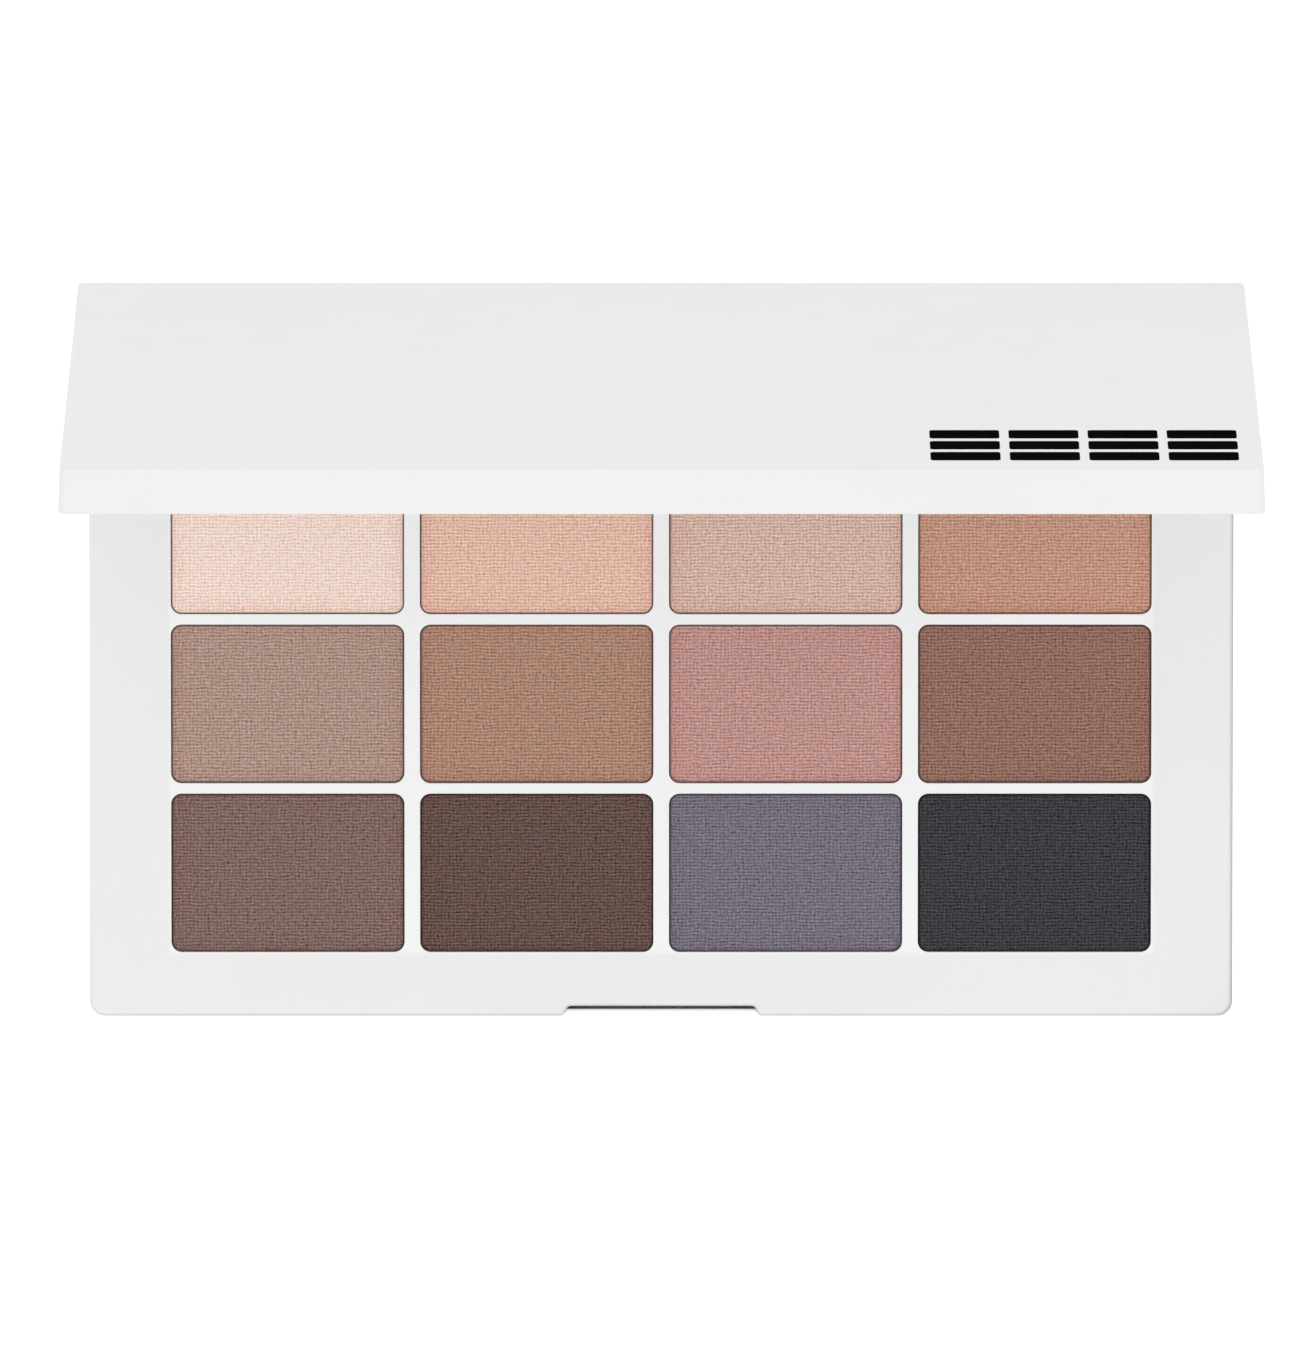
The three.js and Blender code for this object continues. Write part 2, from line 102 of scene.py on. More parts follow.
NOTCH_W = 25.4 * MM
NOTCH_IN_DECK = 1.3 * MM
NOTCH_IN_SHELL = 0.45 * MM
NOTCH_LIP = 0.23 * MM        # lower case's lip in front of the slot behind the notch
NOTCH_BEND = 0.72 * MM       # radius of the notch's corners
NOTCH_STEEPEST = 75          # degrees

LID_WALL = 1.3 * MM
LID_SKIN = 1.2 * MM
LID_WALL_H = 6.1 * MM
LID_DRAFT = 0.2 * MM         # the walls flare by this much towards the rim
LID_EDGE = 0.3 * MM
LID_RIM_ROUND = 0.2 * MM
LID_CORNER = 1.2 * MM
LID_INSIDE_CORNER = 0.5 * MM
LINER_EDGE = 0.3 * MM        # rounding of the liner's outer edge
LINER_LIP = 0.3 * MM         # the liner's opening narrows by this towards the glass
LINER_LIP_H = 0.34 * MM
LINER_NOSE = 0.04 * MM       # the opening's front edge is broken by this
NOSE_H = 0.03 * MM
OPENING_CORNER = 1.5 * MM
GLASS_GAP = 0.04 * MM
GLASS_CORNER = 1.4 * MM
GLASS_EDGE = 0.12 * MM

KNUCKLE_R = 2.0 * MM
KNUCKLE_GAP = 0.3 * MM
KNUCKLE_ROUND = 0.18 * MM
PIN_BORE = 0.78 * MM
WEB_SINK = 0.2 * MM          # the base knuckles' webs run this far into the rear wall
BORE_PLAY = 0.02 * MM        # extra in the lid knuckles' bores
CUT_PAST = 1 * MM            # the lid's slots are cut this far past its rear wall
STATION_X = 47.0 * MM
LID_KNUCKLE_L = 12.0 * MM
BASE_KNUCKLE_L = 6.0 * MM

POWDER_BRIM = 0.265 * MM     # powder pressed out over the pan's rim
POWDER_ROUND = 0.03 * MM
POWDER_SLUMP = 0.6           # the brim's round is lower than it is wide
POWDER_CROWN = 0.02 * MM
POWDER_CORNER = 1.03 * MM
POWDER_LIFT = 0.01 * MM      # the brim's underside above the pan's rim
CROWN_RUN = 0.75 * MM        # the crown's rise from the powder's border

MARK_RIGHT = 3.3 * MM        # printed mark: from the lid's right edge
MARK_FRONT = 4.1 * MM        # and from its front edge
MARK_W = 39.7 * MM
MARK_D = 15.1 * MM
TILE_GAP_X = 1.2 * MM
TILE_GAP_Y = 1.3 * MM
TILE_CORNER = 0.5 * MM
INK_T = 0.015 * MM
INK_SINK = 0.005 * MM

ROWS = 3
COLUMNS = 4

SHADES = [                   # rear row first, left to right
    [("ivory", "edd0c4"), ("peach", "deb4a1"), ("beige_taupe", "ccac9d"), ("terracotta", "ba8b77")],
    [("taupe", "a28679"), ("tan", "a27b67"), ("dusty_pink", "b48780"), ("red_brown", "866053")],
    [("mauve_brown", "725951"), ("dark_brown", "564039"), ("slate", "68626e"),
     ("charcoal", "29292f")],
]

# ---- Outlines: closed lists of (u, v), anticlockwise ----


def arc(u, v, radius, start, end, steps):
    """Points of an arc from start to end degrees, both ends included."""
    points = []
    for k in range(steps + 1):
        a = math.radians(start + (end - start) * k / steps)
        points.append((u + radius * math.cos(a), v + radius * math.sin(a)))
    return points


def circle(u, v, radius, sides=24):
    return arc(u, v, radius, 0, 360 * (sides - 1) / sides, sides - 1)


def rounded_rect(u0, u1, v0, v1, radius, steps=8):
    corners = [
        (u0 + radius, v0 + radius, 180, 270),
        (u1 - radius, v0 + radius, 270, 360),
        (u1 - radius, v1 - radius, 0, 90),
        (u0 + radius, v1 - radius, 90, 180),
    ]
    points = []
    for u, v, start, end in corners:
        points += arc(u, v, radius, start, end, steps)
    return points


def s_bend(run_from, side, depth, steps=6):
    """Half of the notch: from the front edge to its bottom on two arcs and a slope."""
    most = math.radians(NOTCH_STEEPEST)
    turn = min(most, math.acos(max(0.0, 1 - depth / (2 * NOTCH_BEND))))
    rise = NOTCH_BEND * (1 - math.cos(turn))
    straight = (depth - 2 * rise) / math.tan(turn)
    points = []
    for k in range(steps + 1):
        a = turn * k / steps
        points.append((NOTCH_BEND * math.sin(a), NOTCH_BEND * (1 - math.cos(a))))
    end_u = 2 * NOTCH_BEND * math.sin(turn) + straight
    for k in range(steps + 1):
        a = turn * (1 - k / steps)
        points.append((end_u - NOTCH_BEND * math.sin(a), depth - NOTCH_BEND * (1 - math.cos(a))))
    half = end_u / 2
    return [(run_from + side * (u - half), v) for u, v in points]


def base_outline(notch_depth):
    """The base in plan, with the thumb notch in its front edge."""
    x0, x1 = DECK_LOW.x, DECK_HIGH.x
    y0, y1 = DECK_LOW.y, DECK_HIGH.y
    outline = rounded_rect(x0, x1, y0, y1, PLAN_CORNER, CORNER_STEPS)
    left = [(u, y0 + v) for u, v in s_bend(-NOTCH_W / 2, 1, notch_depth)]
    right = [(u, y0 + v) for u, v in s_bend(NOTCH_W / 2, -1, notch_depth)]
    front_left = CORNER_STEPS + 1
    return outline[:front_left] + left + right[::-1] + outline[front_left:]


def inset(outline, distance):
    """The outline moved inwards along its own corners' bisectors."""
    moved = []
    count = len(outline)
    for k in range(count):
        before = Vector(outline[k - 1])
        here = Vector(outline[k])
        after = Vector(outline[(k + 1) % count])
        d1 = (here - before).normalized()
        d2 = (after - here).normalized()
        normal = Vector((-d1.y - d2.y, d1.x + d2.x)).normalized()
        stretch = max(0.5, normal.dot(Vector((-d1.y, d1.x))))
        moved.append(tuple(here + normal * (distance / stretch)))
    return moved


def quarter(radius, steps=6):
    """(inset, drop) down a quarter round, from the flat face to the wall."""
    pairs = []
    for k in range(steps + 1):
        a = math.radians(90 * k / steps)
        pairs.append((radius * (1 - math.sin(a)), radius * (1 - math.cos(a))))
    return pairs


# ---- Mesh building ----


def in_plan(u, v, height):
    return (u, v, height)


def along_x(y, z, x):
    return (x, y, z)


def add_ring(bm, outline, height, place=in_plan):
    return [bm.verts.new(place(u, v, height)) for u, v in outline]


def bridge(bm, first, second):
    count = len(first)
    for k in range(count):
        n = (k + 1) % count
        bm.faces.new((first[k], first[n], second[n], second[k]))


def sweep(bm, outline, levels, place=in_plan):
    """Rings at each (inset, height), bridged in turn. Returns the first and the last ring."""
    rings = [add_ring(bm, inset(outline, i) if i else outline, h, place) for i, h in levels]
    for first, second in zip(rings, rings[1:]):
        bridge(bm, first, second)
    return rings[0], rings[-1]


def fill(bm, *loops):
    """A flat face bounded by the first loop, with the others as holes."""
    edges = []
    for loop in loops:
        for k, vert in enumerate(loop):
            pair = (loop[k - 1], vert)
            edges.append(bm.edges.get(pair) or bm.edges.new(pair))
    bmesh.ops.triangle_fill(bm, use_beauty=True, use_dissolve=False, edges=edges)


def rounded_prism(bm, profile, holes, x0, x1, edge):
    """A profile in YZ run along X, its end edges rounded, with straight holes through it."""
    start = [(i, x0 + d) for i, d in quarter(edge, 3)]
    end = [(i, x1 - d) for i, d in reversed(quarter(edge, 3))]
    first, last = sweep(bm, profile, start + end, along_x)
    walls = [sweep(bm, hole, [(0, x0), (0, x1)], along_x) for hole in holes]
    fill(bm, first, *[wall[0] for wall in walls])
    fill(bm, last, *[wall[1] for wall in walls])


def finish_mesh(bm, name, material, sharp=40):
    bmesh.ops.recalc_face_normals(bm, faces=bm.faces)
    mesh = bpy.data.meshes.new(name)
    bm.to_mesh(mesh)
    bm.free()
    mesh.materials.append(material)
    mesh.polygons.foreach_set("use_smooth", [True] * len(mesh.polygons))
    mesh.set_sharp_from_angle(angle=math.radians(sharp))
    obj = bpy.data.objects.new(name, mesh)
    bpy.context.scene.collection.objects.link(obj)
    return obj


def even_normals(obj):
    """Large flat faces keep their own normal beside a small round."""
    modifier = obj.modifiers.new("even normals", "WEIGHTED_NORMAL")
    modifier.keep_sharp = True
    modifier.weight = 70


def join_frame(obj, body, slot, *stands_for):
    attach(obj, body)
    if stands_for:
        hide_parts(*stands_for)


# ---- Materials ----


def linear(hex_colour):
    """An sRGB colour, written as hex, in the renderer's linear values."""
    values = []
    for k in (0, 2, 4):
        c = int(hex_colour[k:k + 2], 16) / 255
        values.append(c / 12.92 if c <= 0.04045 else ((c + 0.055) / 1.055) ** 2.4)
    return (*values, 1.0)


class Nodes:
    """A material's node tree, with short calls for the nodes used here."""

    def __init__(self, name):
        self.material = bpy.data.materials.new(name)
        self.material.use_nodes = True
        self.tree = self.material.node_tree
        self.shader = self.tree.nodes["Principled BSDF"]
        coords = self.tree.nodes.new("ShaderNodeTexCoord")
        self.place = coords.outputs["Object"]

    def link(self, source, target):
        self.tree.links.new(source, target)

    def set(self, **values):
        for key, value in values.items():
            self.shader.inputs[key.replace("_", " ")].default_value = value

    def noise(self, scale, detail=2.0, roughness=0.5, distortion=0.0, at=None):
        node = self.tree.nodes.new("ShaderNodeTexNoise")
        self.link(at or self.place, node.inputs["Vector"])
        node.inputs["Scale"].default_value = scale
        node.inputs["Detail"].default_value = detail
        node.inputs["Roughness"].default_value = roughness
        node.inputs["Distortion"].default_value = distortion
        return node.outputs["Fac"]

    def math(self, operation, first, second=None, clamp=False):
        node = self.tree.nodes.new("ShaderNodeMath")
        node.operation = operation
        node.use_clamp = clamp
        for socket, value in zip(node.inputs, (first, second)):
            if value is None:
                continue
            if isinstance(value, (int, float)):
                socket.default_value = value
            else:
                self.link(value, socket)
        return node.outputs[0]

    def span(self, value, low, high, to_low=0.0, to_high=1.0):
        node = self.tree.nodes.new("ShaderNodeMapRange")
        node.clamp = True
        self.link(value, node.inputs["Value"])
        for key, number in zip(("From Min", "From Max", "To Min", "To Max"),
                               (low, high, to_low, to_high)):
            node.inputs[key].default_value = number
        return node.outputs["Result"]

    def split(self):
        node = self.tree.nodes.new("ShaderNodeSeparateXYZ")
        self.link(self.place, node.inputs[0])
        return node.outputs["X"], node.outputs["Y"]

    def within(self, low, high, fade):
        """1 inside an upright box's plan, falling to 0 over a distance outside it."""
        masks = []
        for value, least, most in zip(self.split(), low, high):
            off = self.math("ABSOLUTE", self.math("SUBTRACT", value, (least + most) / 2))
            half = (most - least) / 2
            masks.append(self.span(off, half, half + fade, 1.0, 0.0))
        return self.math("MULTIPLY", *masks)

    def beyond(self, low, high, radius):
        """Distance outside a rounded outline in plan, negative inside it."""
        squares = []
        for value, least, most in zip(self.split(), low, high):
            off = self.math("ABSOLUTE", self.math("SUBTRACT", value, (least + most) / 2))
            over = self.math("SUBTRACT", off, (most - least) / 2 - radius)
            over = self.math("MAXIMUM", over, 0.0)
            squares.append(self.math("MULTIPLY", over, over))
        return self.math("SUBTRACT", self.math("SQRT", self.math("ADD", *squares)), radius)

    def stretch(self, x=1.0, y=1.0, z=1.0):
        node = self.tree.nodes.new("ShaderNodeMapping")
        self.link(self.place, node.inputs["Vector"])
        node.inputs["Scale"].default_value = (x, y, z)
        return node.outputs["Vector"]

    def mix(self, factor, first, second):
        node = self.tree.nodes.new("ShaderNodeMix")
        node.data_type = "RGBA"
        sockets = [s for s in node.inputs if s.type == "RGBA"]
        self.link(factor, node.inputs["Factor"])
        for socket, value in zip(sockets, (first, second)):
            if isinstance(value, tuple):
                socket.default_value = value
            else:
                self.link(value, socket)
        return [s for s in node.outputs if s.type == "RGBA"][0]

    def bump(self, height, distance, strength=1.0):
        node = self.tree.nodes.new("ShaderNodeBump")
        node.inputs["Distance"].default_value = distance
        node.inputs["Strength"].default_value = strength
        self.link(height, node.inputs["Height"])
        self.link(node.outputs["Normal"], self.shader.inputs["Normal"])


def scaled(colour, factor):
    return (*[min(1.0, c * factor) for c in colour[:3]], 1.0)


WHITE_PLASTIC = "e5e5e5"
PLASTIC_GRAIN = 0.004 * MM
BARS_PAINTED_LIGHT = 1.09            # painted light: how much lighter the bars between the windows are coloured
BARS_FADE = 0.6 * MM
WARM = (2, 0, -3)            # sRGB levels by which the powders' mottling departs from the mean
COOL = (-1, 0, 3)
EDGE_TINT = (0.99, 0.945, 0.95)
EDGE_FADE = 2.4 * MM
RIM_SHADE_WIDTH = 0.2 * MM          # painted shade: the powders' outermost border is coloured dark, most at the rear
RIM_SHADE_SHIFT = 0.05 * MM
RIM_SHADE_DARK = 0.45
WEAVE_LEVELS = 42            # lightest and darkest of the cloth print, from the mean
ROW_SHARE = 0.28
COLUMN_SHARE = 0.19
DASH_SHARE = 0.7
CRUMB_SHARE = 0.5
WEAVE_RELIEF = 0.05 * MM
METAL_RELIEF = 0.003 * MM
DUST_RELIEF = 0.01 * MM


def white_plastic(name):
    """Matte moulded white: a fine spark-eroded grain, slow waviness and a trace of handling."""
    n = Nodes(name)
    n.set(IOR=1.47)
    white = linear(WHITE_PLASTIC)
    slow = n.noise(35, 3)
    n.link(n.mix(n.span(slow, 0.35, 0.65), scaled(white, 0.992), scaled(white, 1.006)),
           n.shader.inputs["Base Color"])
    n.link(n.span(n.noise(160, 4), 0.3, 0.7, 0.42, 0.55), n.shader.inputs["Roughness"])
    grain = n.noise(7000, 2, 0.6)
    wave = n.math("MULTIPLY", n.noise(90, 2), 1.5)
    n.bump(n.math("ADD", grain, wave), PLASTIC_GRAIN)
    return n


def deck_plastic():
    """The case's white, with painted light: the bars between the windows are coloured a little
    lighter.
    """
    n = white_plastic("white_deck")
    # painted light: the bars between the windows are coloured lighter than the rest of the deck
    inside = n.within(PANS_LOW, PANS_HIGH, BARS_FADE)
    dull = n.shader.inputs["Base Color"].links[0].from_socket
    n.link(n.mix(inside, dull, scaled(linear(WHITE_PLASTIC), BARS_PAINTED_LIGHT)),
           n.shader.inputs["Base Color"])
    return n.material


def printed(hex_colour, shift=(0, 0, 0), share=(1, 1, 1)):
    """Dark and light of the cloth print, as far from the tinted colour on either side."""
    low, high = [], []
    for k, part, change in zip((0, 2, 4), share, shift):
        level = round(int(hex_colour[k:k + 2], 16) * part) + change
        reach = min(WEAVE_LEVELS, 255 - level)
        low.append(f"{max(0, level - reach):02x}")
        high.append(f"{level + reach:02x}")
    return linear("".join(low)), linear("".join(high))


def powder(name, hex_colour, low_corner, high_corner):
    """Pressed powder with the imprint of a linen press cloth, a little redder at its edges, and a
    painted shade along its outermost border.
    """
    n = Nodes(f"powder_{name}")
    n.set(IOR=1.4, Roughness=0.92, Specular_IOR_Level=0.1)

    def threads(value, pitch, wander, drift_scale, patch_scale, faint):
        """One direction of the cloth: a wave about zero that fades in patches."""
        drift = n.math("MULTIPLY", n.math("SUBTRACT", n.noise(drift_scale, 2), 0.5), wander)
        turns = n.math("MULTIPLY", n.math("ADD", value, drift), 2 * math.pi / pitch)
        patches = n.span(n.noise(patch_scale, 1), 0.35, 0.65, faint, 1.0)
        return n.math("MULTIPLY", n.math("SINE", turns), patches)

    x, y = n.split()
    rows = threads(y, pitch=0.44 * MM, wander=0.55 * MM, drift_scale=420, patch_scale=1900,
                   faint=0.3)
    columns = threads(x, pitch=0.5 * MM, wander=0.8 * MM, drift_scale=520, patch_scale=1700,
                      faint=0.0)
    dashes = n.math("SUBTRACT", n.noise(1.0, 1, at=n.stretch(1900, 2700, 1)), 0.5)
    crumbs = n.math("SUBTRACT", n.noise(3600, 2, 0.6), 0.5)
    relief = 0.5
    for part, share in ((rows, ROW_SHARE), (columns, COLUMN_SHARE), (dashes, DASH_SHARE),
                        (crumbs, CRUMB_SHARE)):
        relief = n.math("ADD", n.math("MULTIPLY", part, share), relief)
    tint = n.span(n.noise(900, 2), 0.38, 0.62)
    warm_low, warm_high = printed(hex_colour, WARM)
    cool_low, cool_high = printed(hex_colour, COOL)
    edge_low, edge_high = printed(hex_colour, share=EDGE_TINT)
    inset = Vector((EDGE_FADE, EDGE_FADE, 0))
    middle = n.within(low_corner + inset, high_corner - inset, EDGE_FADE)
    at_edge = n.math("MULTIPLY", n.math("SUBTRACT", 1.0, middle),
                     n.span(n.noise(240, 2), 0.3, 0.6, 0.2, 1.0))
    low = n.mix(at_edge, n.mix(tint, warm_low, cool_low), edge_low)
    high = n.mix(at_edge, n.mix(tint, warm_high, cool_high), edge_high)
    # painted shade: the cake's outermost border is coloured darker for the shade of the gap beside
    # the window wall, widest at the rear
    brim = Vector((POWDER_BRIM, POWDER_BRIM, 0))
    forward = Vector((0, -RIM_SHADE_SHIFT, 0))
    off = n.beyond(low_corner - brim + forward, high_corner + brim + forward,
                   POWDER_CORNER + POWDER_BRIM)
    border = n.span(off, -RIM_SHADE_WIDTH, -RIM_SHADE_WIDTH / 2)
    print_colour = n.mix(n.span(relief, 0, 1), low, high)
    n.link(n.mix(border, print_colour, scaled(linear(hex_colour), RIM_SHADE_DARK)),
           n.shader.inputs["Base Color"])
    n.bump(relief, WEAVE_RELIEF, 0.8)
    return n.material


def metal(name, hex_colour, rough, along=(1.0, 1.0, 1.0)):
    n = Nodes(name)
    n.set(Metallic=1.0)
    tone = linear(hex_colour)
    streaks = n.noise(2600, 3, 0.6, at=n.stretch(*along))
    n.link(n.mix(streaks, scaled(tone, 0.86), scaled(tone, 1.08)), n.shader.inputs["Base Color"])
    n.link(n.span(streaks, 0.3, 0.7, rough * 0.8, rough * 1.3), n.shader.inputs["Roughness"])
    n.bump(streaks, METAL_RELIEF)
    return n.material


def pan_metal_dust_and_shade():
    """Tinplate pan, dulled by the powder that was pressed in it, and coloured darker as painted
    shade for the gap round each cake.
    """
    n = Nodes("dusty_shaded_tinplate")
    n.set(Metallic=0.35)
    dust = n.noise(1500, 3, 0.6)
    # painted shade, partly real powder dust: the tin is coloured dark so the gap beside each cake
    # reads dark
    n.link(n.mix(n.span(dust, 0.35, 0.65), linear("6d6660"), linear("8a817a")),
           n.shader.inputs["Base Color"])
    n.link(n.span(dust, 0.3, 0.7, 0.55, 0.85), n.shader.inputs["Roughness"])
    n.bump(dust, DUST_RELIEF)
    return n.material


def mirror_glass():
    n = Nodes("silvered_mirror")
    n.set(Metallic=1.0)
    film = n.noise(30, 3)
    n.link(n.mix(film, linear("eef1f1"), linear("f4f6f6")), n.shader.inputs["Base Color"])
    n.link(n.span(n.noise(220, 4), 0.45, 0.75, 0.008, 0.03), n.shader.inputs["Roughness"])
    return n.material


def plain_matte(name, first, second, scale, rough, relief):
    n = Nodes(name)
    pattern = n.noise(scale, 4, 0.6)
    n.link(n.mix(pattern, linear(first), linear(second)), n.shader.inputs["Base Color"])
    n.link(n.span(pattern, 0.3, 0.7, rough - 0.06, rough + 0.06), n.shader.inputs["Roughness"])
    n.bump(pattern, relief)
    return n.material


WHITE = white_plastic("white_matte_plastic").material
DECK_WHITE = deck_plastic()
TIN_DUST_AND_SHADE = pan_metal_dust_and_shade()
STEEL = metal("drawn_steel", "a9adb0", 0.28, (0.05, 1, 1))
NICKEL = metal("nickel_plate", "b4b2ad", 0.2)
MIRROR = mirror_glass()
GLUE = plain_matte("hot_melt", "e2dcc8", "ece8da", 600, 0.45, 0.03 * MM)
FOAM = plain_matte("foam_tape", "c9c9c5", "dededa", 3000, 0.9, 0.05 * MM)
PAPER = plain_matte("label_film", "f0efeb", "f6f5f2", 2500, 0.5, 0.004 * MM)
INK = plain_matte("black_ink", "060606", "101010", 1800, 0.85, 0.006 * MM)
INK.node_tree.nodes["Principled BSDF"].inputs["Specular IOR Level"].default_value = 0.0

# ---- Base ----


def shade_tags():
    for row in range(ROWS):
        for column in range(COLUMNS):
            yield row, column, f"r{row + 1}_c{column + 1}"


def make_deck():
    """Deck moulding: one skin with the twelve wells let into it."""
    bm = bmesh.new()
    top, bottom = DECK_HIGH.z, DECK_LOW.z
    seam = top - SEAM_DROP
    levels = [(i, top - d) for i, d in quarter(EDGE_ROUND, 8)]
    levels += [(i, seam + d) for i, d in reversed(quarter(SEAM_ROUND, 3))]
    upper, lower = sweep(bm, base_outline(NOTCH_IN_DECK), levels)

    window_rims, holes_low = [], []
    for _, _, tag in shade_tags():
        low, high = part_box(f"pan_{tag}")
        g = WINDOW_GAP
        outline = rounded_rect(low.x - g, high.x + g, low.y - g, high.y + g, WINDOW_CORNER)
        floor = bottom + WELL_FLOOR
        levels = [(-i, top - d) for i, d in quarter(WINDOW_ROUND, 4)] + [(0, floor)]
        rim, foot = sweep(bm, outline, levels)
        middle = (low + high) / 2
        hole = circle(middle.x + PUSH_HOLE_X, middle.y, PUSH_HOLE_R)
        hole_top, hole_low = sweep(bm, hole, [(0, floor), (0, bottom)])
        fill(bm, foot, hole_top)
        window_rims.append(rim)
        holes_low.append(hole_low)
    fill(bm, upper, *window_rims)

    g = BLOCK_MARGIN
    block = rounded_rect(PANS_LOW.x - g, PANS_HIGH.x + g, PANS_LOW.y - g, PANS_HIGH.y + g,
                         BLOCK_CORNER)
    block_top, block_low = sweep(bm, block, [(0, seam), (0, bottom)])
    fill(bm, lower, block_top)
    fill(bm, block_low, *holes_low)
    deck = finish_mesh(bm, "deck_face", DECK_WHITE)
    even_normals(deck)
    join_frame(deck, "base", "white_case", "deck_tray")


def shell_cavity():
    """Inside of the lower case; it runs forward to a thin lip along the thumb notch."""
    x0, x1 = SHELL_LOW.x + SHELL_WALL, SHELL_HIGH.x - SHELL_WALL
    y0, y1 = SHELL_LOW.y + SHELL_WALL, DECK_HIGH.y - SHELL_WALL
    steps = 8
    outline = rounded_rect(x0, x1, y0, y1, PLAN_CORNER - SHELL_WALL, steps)
    reach = NOTCH_W / 2 + NOTCH_BEND / 2
    slot = SHELL_LOW.y + NOTCH_IN_SHELL + NOTCH_LIP
    front_left = steps + 1
    jog = [(-reach, y0), (-reach, slot), (reach, slot), (reach, y0)]
    return outline[:front_left] + jog + outline[front_left:]


def make_shell():
    """Lower case: outer wall, floor, and the recess for the label."""
    bm = bmesh.new()
    bottom = SHELL_LOW.z
    seam = DECK_HIGH.z - SEAM_DROP - SEAM_GAP
    outline = base_outline(NOTCH_IN_SHELL)
    levels = [(i, bottom + d) for i, d in quarter(EDGE_ROUND, 8)]
    levels += [(i, seam - d) for i, d in reversed(quarter(SEAM_ROUND, 3))]
    low, high = sweep(bm, outline, levels)
    lip, floor = sweep(bm, shell_cavity(), [(0, seam), (0, bottom + SHELL_FLOOR)])
    fill(bm, high, lip)
    fill(bm, floor)
    label_low, label_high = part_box("bottom_label")
    g = RECESS_GAP
    recess = rounded_rect(label_low.x - g, label_high.x + g, label_low.y - g, label_high.y + g,
                          RECESS_CORNER)
    mouth, roof = sweep(bm, recess, [(-RECESS_BEVEL, bottom), (0, bottom + RECESS_BEVEL),
                                     (0, bottom + RECESS_DEPTH)])
    fill(bm, low, mouth)
    fill(bm, roof)
    shell = finish_mesh(bm, "lower_case", WHITE)
    even_normals(shell)
    join_frame(shell, "base", "white_case", "base_shell")


def hinge_arc(radius, start, end, steps):
    return arc(AXIS.y, AXIS.z, radius, start, end, steps)


def make_base_knuckles():
    """Four knuckles on webs from the rear wall; the pins show in their ends."""
    seam = DECK_HIGH.z - SEAM_DROP - SEAM_GAP
    web_top = seam - AXIS.z
    meets = 180 - math.degrees(math.asin(web_top / KNUCKLE_R))
    rear = DECK_HIGH.y - WEB_SINK
    bore = circle(AXIS.y, AXIS.z, PIN_BORE)
    profile = hinge_arc(KNUCKLE_R, -90, meets, 30)
    profile += [(rear, seam), (rear, AXIS.z - KNUCKLE_R)]
    for side in (-1, 1):
        for end in (-1, 1):
            near = side * STATION_X + end * (LID_KNUCKLE_L / 2 + KNUCKLE_GAP)
            far = near + end * BASE_KNUCKLE_L
            bm = bmesh.new()
            rounded_prism(bm, profile, [bore], min(near, far), max(near, far), KNUCKLE_ROUND)
            name = f"base_knuckle_{'left' if side < 0 else 'right'}_{'a' if end < 0 else 'b'}"
            knuckle = finish_mesh(bm, name, WHITE)
            even_normals(knuckle)
            join_frame(knuckle, "base", "white_case")


def make_powders():
    """Pressed cakes: rounded edges and a barely crowned, cloth-printed face."""
    for row, column, tag in shade_tags():
        name, colour = SHADES[row][column]
        low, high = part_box(f"shade_{tag}")
        outline = rounded_rect(low.x, high.x, low.y, high.y, POWDER_CORNER, CORNER_STEPS)
        bm = bmesh.new()
        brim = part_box(f"pan_{tag}")[1].z + POWDER_LIFT
        top = high.z - POWDER_CROWN
        levels = [(0, low.z), (0, brim), (-POWDER_BRIM, brim)]
        levels += [(i - POWDER_BRIM, top - d * POWDER_SLUMP)
                   for i, d in reversed(quarter(POWDER_ROUND, 3))]
        for share in (0.25, 0.5, 0.75, 1.0):
            levels.append((share * CROWN_RUN, high.z - POWDER_CROWN * (1 - share) ** 2))
        foot, face = sweep(bm, outline, levels)
        fill(bm, foot)
        fill(bm, face)
        cake = finish_mesh(bm, f"cake_{tag}_{name}", powder(name, colour, low, high), 60)
        even_normals(cake)
        join_frame(cake, "base", f"powder_{tag}", f"shade_{tag}")


# ---- Lid, drawn shut and then opened ----


def open_lid(bm):
    bmesh.ops.transform(bm, matrix=TO_REST, verts=bm.verts)


